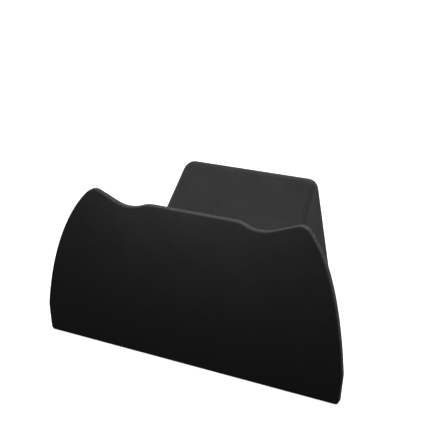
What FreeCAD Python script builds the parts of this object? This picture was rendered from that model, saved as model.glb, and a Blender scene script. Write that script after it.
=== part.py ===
"""Controller stand, moulded as one thin-walled piece of matte black plastic.

A shield with an eared and notched top edge stands in front and leans back along an arc. A narrower cradle
is moulded on to its back: a trough with a rest behind it, two drafted flanks and a rear leg. The wings of
the shield reach past the cradle on either side. The cradle has an even wall and is open underneath.

Millimetres. X runs to the right, Y from front to back and Z up. The origin is on the table, under the
middle of the part.
"""
import FreeCAD
import Part
import math
import os

from FreeCAD import Vector

# Overall size
overall_depth = 72.0

# Shield outline, seen from the front
foot_width = 115.3
foot_corner_radius = 1.5
widest_width = 116.6
widest_height = 10.5
waist_radius = 10.0
brow_height = 54.7
brow_corner_radius = 10.0
notch_spacing = 50.6
notch_depth = 1.8
notch_radius = 14.5
notch_to_ear = 14.3
ear_rise = 2.1
ear_radius = 4.5

# Long side curves of the shield: directions at both ends, in degrees from the vertical, and pulls
side_start_lean = 6.0
side_end_lean = 45.0
side_start_pull = 19.0
side_end_pull = 12.4

# Shield section, seen from the side
shield_thickness = 2.0
bend_radius = 215.0
rim_radius = 0.5

# Cradle section, seen from the side, with slopes in degrees
brow_to_trough_lip = 10.7
trough_depth = 9.0
trough_floor_radius = 12.0
trough_front_slope = 35.0
rest_slope = 44.0
crest_rise = 21.6
crest_radius = 6.0

# Cradle across
cradle_foot_width = 62.0
cradle_draft = 4.0
cradle_wall = 2.0
cradle_edge_radius = 3.5
root_radius = 3.0

# Heights above the table
ear_height = brow_height + ear_rise
notch_height = brow_height - notch_depth
trough_lip_height = brow_height - brow_to_trough_lip
trough_floor_height = trough_lip_height - trough_depth
crest_height = trough_floor_height + crest_rise
stock_height = max(ear_height, crest_height) + ear_radius

# Planes and arcs that the shield and the cradle share
front_y = -overall_depth / 2
rear_y = overall_depth / 2
bend_centre_y = front_y + bend_radius
back_bend_radius = bend_radius - shield_thickness
middle_bend_radius = bend_radius - shield_thickness / 2
tolerance = 1e-4


def leaning(degrees):
    """Unit vector in the XZ plane that leans inwards from the vertical, on the right-hand side."""
    angle = math.radians(degrees)
    return Vector(-math.sin(angle), 0, math.cos(angle))


def slope(degrees):
    """Rise for each millimetre along."""
    return math.tan(math.radians(degrees))


def arc_about(centre, start, end):
    """The shorter arc about a centre between two points at the same distance from it."""
    radius = (start - centre).Length
    middle = (start - centre) + (end - centre)
    return Part.Arc(start, centre + middle * (radius / middle.Length), end).toShape()


def rounded_chain(corners):
    """Edges through (point, radius) corners, each inner corner rounded by its radius."""
    edges = []
    last = corners[0][0]
    for (before, _), (corner, radius), (after, _) in zip(corners, corners[1:], corners[2:]):
        inward = (before - corner).normalize()
        outward = (after - corner).normalize()
        half_angle = inward.getAngle(outward) / 2
        start = corner + inward * (radius / math.tan(half_angle))
        end = corner + outward * (radius / math.tan(half_angle))
        centre = corner + (inward + outward).normalize() * (radius / math.sin(half_angle))
        edges.append(Part.makeLine(last, start))
        edges.append(arc_about(centre, start, end))
        last = end
    edges.append(Part.makeLine(last, corners[-1][0]))
    return edges


def face_of(edges):
    """Flat face inside a closed loop of edges."""
    return Part.Face(Part.Wire(Part.__sortEdges__(edges)))


def drawn_across(face, width):
    """Solid of a side section, drawn out evenly to both sides of the middle plane."""
    solid = face.extrude(Vector(width, 0, 0))
    solid.translate(Vector(-width / 2, 0, 0))
    return solid


def drawn_back(face):
    """Solid of a front outline, drawn through the whole depth."""
    solid = face.extrude(Vector(0, overall_depth, 0))
    solid.translate(Vector(0, front_y, 0))
    return solid


def crossing_tangent(ear, notch):
    """Ends of the straight line that leaves the top of the ear's arc and runs in under the notch's arc."""
    across = notch - ear
    turn = math.atan2(across.z, across.x) - math.acos((ear_radius + notch_radius) / across.Length)
    normal = Vector(math.cos(turn), 0, math.sin(turn))
    return ear + normal * ear_radius, notch - normal * notch_radius


def shield_outline():
    """Front outline of the shield as a face in the XZ plane."""
    notch = Vector(notch_spacing / 2, 0, notch_height + notch_radius)
    ear = Vector(notch.x + notch_to_ear, 0, ear_height - ear_radius)

    # The level brow ends in an arc that touches both the brow and the notch.
    corner_z = brow_height - brow_corner_radius
    reach = brow_corner_radius + notch_radius
    corner = Vector(notch.x - math.sqrt(reach ** 2 - (notch.z - corner_z) ** 2), 0, corner_z)
    brow_end = Vector(corner.x, 0, brow_height)
    brow_to_notch = corner + (notch - corner).normalize() * brow_corner_radius

    # The foot tapers inwards below the widest place, where the side curve starts.
    widest = Vector(widest_width / 2, 0, widest_height)
    start_handle = widest + leaning(side_start_lean) * side_start_pull
    foot = rounded_chain([
        (Vector(0, 0, 0), 0),
        (Vector(foot_width / 2, 0, 0), foot_corner_radius),
        (widest, waist_radius),
        (start_handle, 0),
    ])[:-1]

    end_lean = leaning(side_end_lean)
    side_end = ear + Vector(end_lean.z, 0, -end_lean.x) * ear_radius
    side = Part.BezierCurve()
    side.setPoles([foot[-1].Vertexes[-1].Point, start_handle, side_end - end_lean * side_end_pull, side_end])

    ear_to_notch, notch_from_ear = crossing_tangent(ear, notch)
    half = foot + [
        side.toShape(),
        arc_about(ear, side_end, ear_to_notch),
        Part.makeLine(ear_to_notch, notch_from_ear),
        arc_about(notch, notch_from_ear, brow_to_notch),
        arc_about(corner, brow_to_notch, brow_end),
        Part.makeLine(brow_end, Vector(0, 0, brow_height)),
    ]
    other_half = [edge.mirror(Vector(0, 0, 0), Vector(1, 0, 0)) for edge in half]
    return face_of(half + other_half)


def bend_point(radius, height):
    """Point at a height on one of the arcs of the shield's section."""
    return Vector(0, bend_centre_y - math.sqrt(radius ** 2 - height ** 2), height)


def bend_arc(radius):
    """Arc of the shield's section from the table, where it is upright, to the top of the stock."""
    centre = Vector(0, bend_centre_y, 0)
    return arc_about(centre, bend_point(radius, 0), bend_point(radius, stock_height))


def behind_bend(radius, far_y):
    """Side section of the space between an arc of the shield and a plane behind it."""
    foot = bend_point(radius, 0)
    top = bend_point(radius, stock_height)
    far_foot = Vector(0, far_y, 0)
    far_top = Vector(0, far_y, stock_height)
    return face_of([
        bend_arc(radius),
        Part.makeLine(top, far_top),
        Part.makeLine(far_top, far_foot),
        Part.makeLine(far_foot, foot),
    ])


def middle_of(edge):
    """Point halfway along an edge."""
    return edge.valueAt((edge.FirstParameter + edge.LastParameter) / 2)


def on_bend(edge, radius):
    """Whether an edge lies on the front or back surface of the shield, given by its bend radius."""
    point = middle_of(edge)
    return abs(math.hypot(point.y - bend_centre_y, point.z) - radius) < tolerance


def shield():
    """Curved sheet cut to the outline, with its front rim rounded over."""
    stock_width = widest_width + foot_width
    stock = drawn_across(behind_bend(bend_radius, rear_y), stock_width)
    sheet = stock.cut(drawn_across(behind_bend(back_bend_radius, rear_y), stock_width))
    plate = sheet.common(drawn_back(shield_outline())).Solids[0]

    front_rim = [edge for edge in plate.Edges if on_bend(edge, bend_radius)]
    return plate.makeFillet(rim_radius, front_rim)


def cradle_section(overrun):
    """Side section of the cradle, carried past the table and past the front by the overrun."""
    lip = bend_point(back_bend_radius, trough_lip_height)
    front_slope = slope(trough_front_slope)
    rest_rise = slope(rest_slope)

    # The slopes of the trough meet in a root that lies below its rounded floor.
    mean_slope = math.radians((rest_slope + trough_front_slope) / 2)
    skew = math.radians((rest_slope - trough_front_slope) / 2)
    root_z = trough_floor_height - trough_floor_radius * (math.cos(skew) / math.cos(mean_slope) - 1)
    root = Vector(0, lip.y + (trough_lip_height - root_z) / front_slope, root_z)

    # The rest runs up into the arc of the crest, and the rear leg leaves that arc for the rear edge.
    arc_z = crest_height - crest_radius
    arc_y = root.y + (arc_z - root_z + crest_radius / math.cos(math.radians(rest_slope))) / rest_rise
    to_rear = Vector(0, rear_y - arc_y, -arc_z)
    rear_lean = math.atan2(to_rear.y, arc_z) - math.asin(crest_radius / to_rear.Length)
    leg_run = math.tan(rear_lean)

    # The rest and the leg, carried on past that arc, meet in the crest's corner.
    crest_z = (root_z + rest_rise * (rear_y - root.y)) / (1 + rest_rise * leg_run)
    crest = Vector(0, rear_y - crest_z * leg_run, crest_z)

    front = Vector(0, front_y - overrun, trough_lip_height + (lip.y - front_y + overrun) * front_slope)
    front_foot = Vector(0, front.y, -overrun)
    rear_foot = Vector(0, rear_y + overrun * leg_run, -overrun)
    top = rounded_chain([(front, 0), (root, trough_floor_radius), (crest, crest_radius), (rear_foot, 0)])
    return face_of(top + [Part.makeLine(rear_foot, front_foot), Part.makeLine(front_foot, front)])


def drafted(section, inset, edge_radius):
    """Side section drawn across between two flanks, each moved in by the inset, with rounded shoulders."""
    half = cradle_foot_width / 2 - inset / math.cos(math.radians(cradle_draft))
    low_z = section.BoundBox.ZMin
    low = half - low_z * slope(cradle_draft)
    high = half - stock_height * slope(cradle_draft)
    flanks = drawn_back(Part.Face(Part.makePolygon([
        Vector(-low, 0, low_z),
        Vector(low, 0, low_z),
        Vector(high, 0, stock_height),
        Vector(-high, 0, stock_height),
        Vector(-low, 0, low_z),
    ])))
    block = drawn_across(section, cradle_foot_width + foot_width).common(flanks).Solids[0]

    # The shoulders run beside the flanks, up the trough, over the crest and down the rear leg.
    shoulders = []
    for edge in block.Edges:
        box = edge.BoundBox
        if box.XLength < half and box.YLength > tolerance and box.ZLength > tolerance:
            shoulders.append(edge)
    return block.makeFillet(edge_radius, shoulders)


def cradle_block():
    """Cradle as a full block that still runs through the shield."""
    return drafted(cradle_section(0), 0, cradle_edge_radius)


def cradle():
    """Hollow trough, rest and rear leg, trimmed to the middle of the shield's thickness."""
    inner_section = cradle_section(2 * cradle_wall).makeOffset2D(-cradle_wall, 2)
    cavity = drafted(inner_section, cradle_wall, cradle_edge_radius - cradle_wall)
    behind = drawn_across(behind_bend(middle_bend_radius, rear_y), cradle_foot_width)
    return cradle_block().cut(cavity).common(behind).Solids[0]


def stand():
    """The shield and the cradle as one moulding, with a fillet along the root of the cradle."""
    moulding = shield().fuse(cradle()).removeSplitter().Solids[0]
    skin = cradle_block().Shells[0]
    root = []
    for edge in moulding.Edges:
        point = middle_of(edge)
        on_skin = skin.distToShape(Part.Vertex(point))[0] < tolerance
        if on_bend(edge, back_bend_radius) and on_skin and point.z > tolerance:
            root.append(edge)
    return moulding.makeFillet(root_radius, root).Solids[0]


os.makedirs("parts", exist_ok=True)
stand().exportStep("parts/stand.step")
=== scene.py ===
"""Looks of a moulded controller stand: its matt plastic finish, and a plain studio around it.

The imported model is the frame. The stand keeps the shape that it has there, and this file gives it its finish,
the floor, the lamps and the camera. Metres, with X to the right, Y from front to back and Z up.
"""

import math

import bmesh
import bpy

from bpy.props import FloatProperty, FloatVectorProperty, PointerProperty
from bpy.types import Operator, Panel, PropertyGroup
from mathutils import Euler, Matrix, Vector


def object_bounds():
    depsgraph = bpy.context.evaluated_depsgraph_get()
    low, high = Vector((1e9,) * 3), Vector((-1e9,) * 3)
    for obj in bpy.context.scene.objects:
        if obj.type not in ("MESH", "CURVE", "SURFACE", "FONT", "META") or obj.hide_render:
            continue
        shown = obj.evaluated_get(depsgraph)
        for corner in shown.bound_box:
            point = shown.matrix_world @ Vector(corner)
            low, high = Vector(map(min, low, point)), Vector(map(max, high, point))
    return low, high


bl_info = {
    "name": "Controller Stand",
    "version": (1, 0, 0),
    "blender": (4, 5, 0),
    "location": "View3D > Sidebar > Stand",
    "description": "Finishes a moulded controller stand and sets it in a plain studio",
    "category": "Object",
}

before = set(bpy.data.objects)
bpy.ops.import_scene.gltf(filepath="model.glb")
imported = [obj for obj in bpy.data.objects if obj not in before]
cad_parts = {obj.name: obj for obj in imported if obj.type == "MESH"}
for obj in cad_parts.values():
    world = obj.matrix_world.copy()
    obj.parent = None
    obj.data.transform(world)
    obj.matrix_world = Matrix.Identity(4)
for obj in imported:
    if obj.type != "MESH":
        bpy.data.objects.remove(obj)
cad_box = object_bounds()

# What the imported model calls the stand
stand_node = "stand"

# The shield is rolled about an axis that lies on the table, behind the stand, along X.
bend_radius = 0.215
shield_thickness = 0.002
bend_axis_y = cad_box[0].y + bend_radius

# What lies no more than this behind the shield's back face still counts as shield.
shield_margin = shield_thickness / 20

# A surface of the shield counts as rim where it turns away from the two faces: at the first value it
# begins to, and at the second it wholly does.
rim_begins = 0.05
rim_whole = 0.6

# The moulded grain has a coarser part, this many times larger and with this share of the height.
coarse_grain = 3
coarse_share = 0.3

# Noise textures lie about this value, and specks fade in over this much of it.
noise_mean = 0.5
speck_fade = 0.12

# Finer layers that each noise texture has on top of its first
grain_detail = 2
coarse_detail = 1
cloud_detail = 3
speck_detail = 1

# Places of a Mix node's sockets for colours: those for numbers and vectors have the same names.
mix_share = 0
mix_first = 6
mix_second = 7
mix_result = 2

white = (1.0, 1.0, 1.0)


class Socket:
    """One output of a node. Arithmetic on it adds Math nodes."""

    def __init__(self, graph, output):
        self.graph = graph
        self.output = output

    def __add__(self, other):
        return self.graph.math("ADD", self, other)

    def __radd__(self, other):
        return self.graph.math("ADD", other, self)

    def __sub__(self, other):
        return self.graph.math("SUBTRACT", self, other)

    def __rsub__(self, other):
        return self.graph.math("SUBTRACT", other, self)

    def __mul__(self, other):
        return self.graph.math("MULTIPLY", self, other)

    def __rmul__(self, other):
        return self.graph.math("MULTIPLY", other, self)


class Graph:
    """A node tree that is built from scratch, one node for each call."""

    def __init__(self, tree):
        self.tree = tree
        tree.nodes.clear()

    def node(self, kind, settings=None, inputs=None, output=0):
        """Add a node, set it up, fill its sockets with values or links, and return one of its outputs."""
        made = self.tree.nodes.new(kind)
        for name, value in (settings or {}).items():
            setattr(made, name, value)
        for key, value in (inputs or {}).items():
            if isinstance(value, Socket):
                self.tree.links.new(value.output, made.inputs[key])
            else:
                made.inputs[key].default_value = value
        if made.outputs:
            return Socket(self, made.outputs[output])

    def math(self, operation, *values):
        """Add a Math node."""
        return self.node("ShaderNodeMath", {"operation": operation}, dict(enumerate(values)))

    def vector(self, operation, *values, output="Vector"):
        """Add a Vector Math node."""
        return self.node("ShaderNodeVectorMath", {"operation": operation}, dict(enumerate(values)), output)

    def largest(self, first, *others):
        """The largest of several values."""
        for other in others:
            first = self.math("MAXIMUM", first, other)
        return first

    def step(self, value, low, high):
        """Smooth step of a value from 0 at low to 1 at high."""
        return self.node(
            "ShaderNodeMapRange",
            {"interpolation_type": "SMOOTHSTEP"},
            {"Value": value, "From Min": low, "From Max": high},
        )

    def scaled(self, colour, factor):
        """A colour made lighter or darker by a factor."""
        return self.node("ShaderNodeVectorMath", {"operation": "SCALE"}, {0: colour, "Scale": factor})

    def mix_colour(self, share, first, second):
        """Blend two colours by a share."""
        inputs = {mix_share: share, mix_first: first, mix_second: second}
        return self.node("ShaderNodeMix", {"data_type": "RGBA"}, inputs, mix_result)

    def noise(self, place, feature_size, detail):
        """Soft noise with features of a given size."""
        return self.node(
            "ShaderNodeTexNoise",
            {"noise_dimensions": "3D"},
            {"Vector": place, "Scale": 1 / feature_size, "Detail": detail},
        )


def opaque(colour):
    """Colour with its alpha."""
    return (*colour, 1.0)


class PlasticSettings(PropertyGroup):
    """Finish of the moulded plastic."""

    colour: FloatVectorProperty(
        name="Colour", description="Colour of the moulded plastic", subtype="COLOR", size=3,
        default=(0.034, 0.034, 0.035), min=0, max=1)
    roughness: FloatProperty(
        name="Roughness", description="How matt the moulded surface is", subtype="FACTOR",
        default=0.62, min=0, max=1)
    gloss: FloatProperty(
        name="Gloss", description="How much light the surface mirrors", subtype="FACTOR",
        default=0.02, min=0, max=1)
    grain_size: FloatProperty(
        name="Grain Size", description="Size of the moulded grain", unit="LENGTH",
        default=0.0004, min=0.00005, precision=5)
    grain_height: FloatProperty(
        name="Grain Height", description="Height of the moulded grain", unit="LENGTH",
        default=0.00006, min=0, precision=5)
    grain_contrast: FloatProperty(
        name="Grain Contrast", description="How far the grain changes the colour", subtype="FACTOR",
        default=0.5, min=0, max=1)
    cloud_size: FloatProperty(
        name="Cloud Size", description="Size of the faint clouds in the finish", unit="LENGTH",
        default=0.016, min=0.001, precision=4)
    cloud_contrast: FloatProperty(
        name="Cloud Contrast", description="How far the clouds change the finish", subtype="FACTOR",
        default=0.45, min=0, max=1)
    # Light specks along the rim: partly wear of the edge, partly painted glints where a rough edge would catch
    # the light.
    scuff_and_glint_colour: FloatVectorProperty(
        name="Scuff And Glint Colour", description="Colour of the specks along the rim", subtype="COLOR", size=3,
        default=(0.075, 0.075, 0.075), min=0, max=1)
    scuff_and_glint_size: FloatProperty(
        name="Scuff And Glint Size", description="Size of the specks along the rim", unit="LENGTH",
        default=0.0008, min=0.0001, precision=4)
    scuff_and_glint_level: FloatProperty(
        name="Scuff And Glint Level", description="Level of the noise above which a speck shows", subtype="FACTOR",
        default=0.6, min=0, max=1)


def strip_power(side, watts):
    """Setting for the power of the strip light on one side."""
    return FloatProperty(
        name=f"{side} Power", description=f"Power of the {side.lower()} strip light", unit="POWER",
        default=watts, min=0, precision=3)


def strip_length(side, metres):
    """Setting for the length of the strip light on one side."""
    return FloatProperty(
        name=f"{side} Length", description=f"Length of the {side.lower()} strip light", unit="LENGTH",
        default=metres, min=0.01)


def strip_place(side, place):
    """Setting for the place of the strip light on one side."""
    return FloatVectorProperty(
        name=f"{side} Place", description=f"Middle of the {side.lower()} strip light", subtype="TRANSLATION",
        size=3, default=place)


class StudioSettings(PropertyGroup):
    """Floor, lamps and camera."""

    floor_size: FloatProperty(
        name="Floor Size", description="Length of a side of the floor", unit="LENGTH", default=8, min=1)
    floor_colour: FloatVectorProperty(
        name="Floor Colour", description="Colour of the floor", subtype="COLOR", size=3,
        default=(0.8, 0.8, 0.8), min=0, max=1)
    floor_lift: FloatProperty(
        name="Floor Lift", description="Light that the floor adds of its own where it is seen",
        default=0.6, min=0, max=1)
    floor_bounce: FloatProperty(
        name="Floor Bounce", description="Share of the light that the floor throws back on the stand",
        subtype="FACTOR", default=0.03, min=0, max=1)
    top_light: FloatProperty(
        name="Top Light", description="Strength of the wide light overhead", default=1.5, min=0)
    top_spread: FloatProperty(
        name="Top Spread", description="How wide the light overhead looks from the floor", subtype="ANGLE",
        default=math.radians(12), min=0, max=math.pi)
    front_power: strip_power("Front", 0.029)
    front_length: strip_length("Front", 0.05)
    front_place: strip_place("Front", (0, -0.045, 0.1))
    rear_power: strip_power("Rear", 1.4)
    rear_length: strip_length("Rear", 0.2)
    rear_place: strip_place("Rear", (0, 0.45, 0.25))
    left_power: strip_power("Left", 0.045)
    left_length: strip_length("Left", 0.05)
    left_place: strip_place("Left", (-0.1, -0.01, 0.08))
    right_power: strip_power("Right", 0.045)
    right_length: strip_length("Right", 0.05)
    right_place: strip_place("Right", (0.1, -0.01, 0.08))
    strip_width: FloatProperty(
        name="Strip Width", description="Width of each strip light", unit="LENGTH", default=0.04, min=0.01)
    room_light: FloatProperty(
        name="Room Light", description="Strength of the even light from all round", default=0.1, min=0)
    camera_place: FloatVectorProperty(
        name="Camera Place", description="Where the camera stands", subtype="TRANSLATION", size=3,
        default=(0.12991, -0.26272, 0.15802))
    camera_pan: FloatProperty(
        name="Camera Pan", description="Turn of the camera to the left", subtype="ANGLE",
        default=math.radians(26.67))
    camera_tilt: FloatProperty(
        name="Camera Tilt", description="Tilt of the camera below the horizon", subtype="ANGLE",
        default=math.radians(21.844))
    camera_lens: FloatProperty(
        name="Camera Lens", description="Focal length in millimetres", unit="CAMERA", default=68.304, min=1)
    camera_near: FloatProperty(
        name="Camera Near", description="Nearest distance that the camera sees", unit="LENGTH",
        default=0.01, min=0.001)


def rim_mask(graph, place):
    """1 on the edge of the shield and 0 on its two faces, from the shield's own bend."""
    from_axis = graph.vector("SUBTRACT", place, (0, bend_axis_y, 0))
    across_bend = graph.vector("MULTIPLY", from_axis, (0, 1, 1))
    outwards = graph.vector("NORMALIZE", across_bend)
    reach = graph.vector("LENGTH", across_bend, output="Value")
    normal = graph.node("ShaderNodeNewGeometry", output="Normal")
    facing = graph.math("ABSOLUTE", graph.vector("DOT_PRODUCT", outwards, normal, output="Value"))
    back_radius = bend_radius - shield_thickness
    in_shield = graph.step(reach, back_radius - shield_margin, back_radius)
    return in_shield * graph.step(1 - facing, rim_begins, rim_whole)


def moulded_plastic(settings):
    """Matt black plastic with a fine moulded grain, faint clouds, and a few light specks along the rim that are
    partly edge wear and partly painted glints.
    """
    material = bpy.data.materials.new("moulded_black_plastic")
    material.use_nodes = True
    graph = Graph(material.node_tree)
    place = graph.node("ShaderNodeTexCoord", output="Object")

    fine = graph.noise(place, settings.grain_size, grain_detail)
    coarse = graph.noise(place, settings.grain_size * coarse_grain, coarse_detail)
    grain = fine * (1 - coarse_share) + coarse * coarse_share
    bump = graph.node(
        "ShaderNodeBump", None, {"Strength": 1.0, "Distance": settings.grain_height, "Height": grain})

    cloud = (graph.noise(place, settings.cloud_size, cloud_detail) - noise_mean) * settings.cloud_contrast
    tone = 1 + cloud + (grain - noise_mean) * settings.grain_contrast

    # Lighter colour on specks of the rim: partly edge wear, partly painted glints that stand in for highlights
    # on a rough edge.
    speck_noise = graph.noise(place, settings.scuff_and_glint_size, speck_detail)
    speck = graph.step(speck_noise, settings.scuff_and_glint_level, settings.scuff_and_glint_level + speck_fade)
    scuff_and_glint = rim_mask(graph, place) * speck

    plain = graph.scaled(settings.colour, tone)
    colour = graph.mix_colour(scuff_and_glint, plain, opaque(settings.scuff_and_glint_colour))
    shader = graph.node(
        "ShaderNodeBsdfPrincipled", None,
        {
            "Base Color": colour,
            "Roughness": settings.roughness + cloud,
            "Specular IOR Level": settings.gloss,
            "Normal": bump,
        },
    )
    graph.node("ShaderNodeOutputMaterial", None, {"Surface": shader})
    return material


def seen_directly(graph):
    """1 for rays of the camera, of reflections and of light that passes through, and 0 for the rest."""
    kinds = ("Is Camera Ray", "Is Glossy Ray", "Is Transmission Ray")
    return graph.largest(*[graph.node("ShaderNodeLightPath", output=kind) for kind in kinds])


def pale_floor(settings):
    """White floor that keeps shadows and throws little light back."""
    material = bpy.data.materials.new("pale_floor")
    material.use_nodes = True
    graph = Graph(material.node_tree)
    paint = graph.node("ShaderNodeBsdfDiffuse", None, {"Color": opaque(settings.floor_colour)})
    lift = graph.node("ShaderNodeEmission", None, {"Color": opaque(white), "Strength": settings.floor_lift})
    shown = graph.node("ShaderNodeAddShader", None, {0: paint, 1: lift})
    dim = opaque([settings.floor_bounce] * 3)
    thrown_back = graph.node("ShaderNodeBsdfDiffuse", None, {"Color": dim})
    surface = graph.node("ShaderNodeMixShader", None, {0: seen_directly(graph), 1: thrown_back, 2: shown})
    graph.node("ShaderNodeOutputMaterial", None, {"Surface": surface})
    return material


def add_object(name, data):
    """Put an object with this data in the scene."""
    made = bpy.data.objects.new(name, data)
    bpy.context.scene.collection.objects.link(made)
    return made


def add_floor(settings):
    """Square floor under the stand."""
    mesh = bpy.data.meshes.new("floor")
    shape = bmesh.new()
    bmesh.ops.create_grid(shape, x_segments=1, y_segments=1, size=settings.floor_size / 2)
    shape.to_mesh(mesh)
    shape.free()
    mesh.materials.append(pale_floor(settings))
    floor = add_object("floor", mesh)


def add_strip(side, settings):
    """Level strip light on one side, turned to the top of the shield."""
    data = bpy.data.lights.new(f"{side}_strip", "AREA")
    data.energy = getattr(settings, f"{side}_power")
    data.shape = "RECTANGLE"
    data.size = getattr(settings, f"{side}_length")
    data.size_y = settings.strip_width
    strip = add_object(data.name, data)
    strip.location = getattr(settings, f"{side}_place")
    target = Vector((0, cad_box[0].y, cad_box[1].z))
    strip.rotation_euler = (target - strip.location).to_track_quat("-Z", "Y").to_euler()
    strip.visible_camera = False


def add_lamps(settings):
    """Wide light overhead, and a strip light on each side."""
    top = bpy.data.lights.new("top_light", "SUN")
    top.energy = settings.top_light
    top.angle = settings.top_spread
    add_object("top_light", top)
    for side in ("front", "rear", "left", "right"):
        add_strip(side, settings)


def light_room(settings):
    """Even light from all round, in front of a white backdrop."""
    world = bpy.data.worlds.new("room")
    world.use_nodes = True
    graph = Graph(world.node_tree)
    shown = seen_directly(graph)
    strength = shown + (1 - shown) * settings.room_light
    backdrop = graph.node("ShaderNodeBackground", None, {"Color": opaque(white), "Strength": strength})
    graph.node("ShaderNodeOutputWorld", None, {"Surface": backdrop})
    bpy.context.scene.world = world


def add_camera(settings):
    """Camera to the right of the front, looking down on the shield."""
    data = bpy.data.cameras.new("camera")
    data.lens = settings.camera_lens
    data.clip_start = settings.camera_near
    camera = add_object("camera", data)
    camera.location = settings.camera_place
    camera.rotation_euler = Euler((math.pi / 2 - settings.camera_tilt, 0, settings.camera_pan))
    bpy.context.scene.camera = camera


class STAND_OT_finish_stand(Operator):
    """Give the stand its matt moulded finish"""

    bl_idname = "stand.finish_stand"
    bl_label = "Finish Stand"

    def execute(self, context):
        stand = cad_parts[stand_node]
        stand.material_slots[0].material = moulded_plastic(context.scene.stand_plastic)
        return {"FINISHED"}


class STAND_OT_set_stage(Operator):
    """Put the floor, the lamps and the camera around the stand"""

    bl_idname = "stand.set_stage"
    bl_label = "Set Stage"

    def execute(self, context):
        settings = context.scene.stand_studio
        context.scene.view_settings.view_transform = "Standard"
        add_floor(settings)
        add_lamps(settings)
        light_room(settings)
        add_camera(settings)
        return {"FINISHED"}


class STAND_PT_sidebar(Panel):
    """Settings of the stand's looks, and the steps that make them"""

    bl_idname = "STAND_PT_sidebar"
    bl_label = "Controller Stand"
    bl_space_type = "VIEW_3D"
    bl_region_type = "UI"
    bl_category = "Stand"

    def draw(self, context):
        for step, settings in (
            (STAND_OT_finish_stand, context.scene.stand_plastic),
            (STAND_OT_set_stage, context.scene.stand_studio),
        ):
            box = self.layout.box()
            for name in settings.__annotations__:
                box.prop(settings, name)
            box.operator(step.bl_idname)


classes = (PlasticSettings, StudioSettings, STAND_OT_finish_stand, STAND_OT_set_stage, STAND_PT_sidebar)


def register():
    """Make the settings, the steps and the panel known to Blender."""
    for each in classes:
        bpy.utils.register_class(each)
    bpy.types.Scene.stand_plastic = PointerProperty(type=PlasticSettings)
    bpy.types.Scene.stand_studio = PointerProperty(type=StudioSettings)


def unregister():
    """Take the settings, the steps and the panel away again."""
    del bpy.types.Scene.stand_studio
    del bpy.types.Scene.stand_plastic
    for each in reversed(classes):
        bpy.utils.unregister_class(each)


def main():
    """Run every step."""
    register()
    bpy.ops.stand.finish_stand()
    bpy.ops.stand.set_stage()


if __name__ == "__main__":
    main()
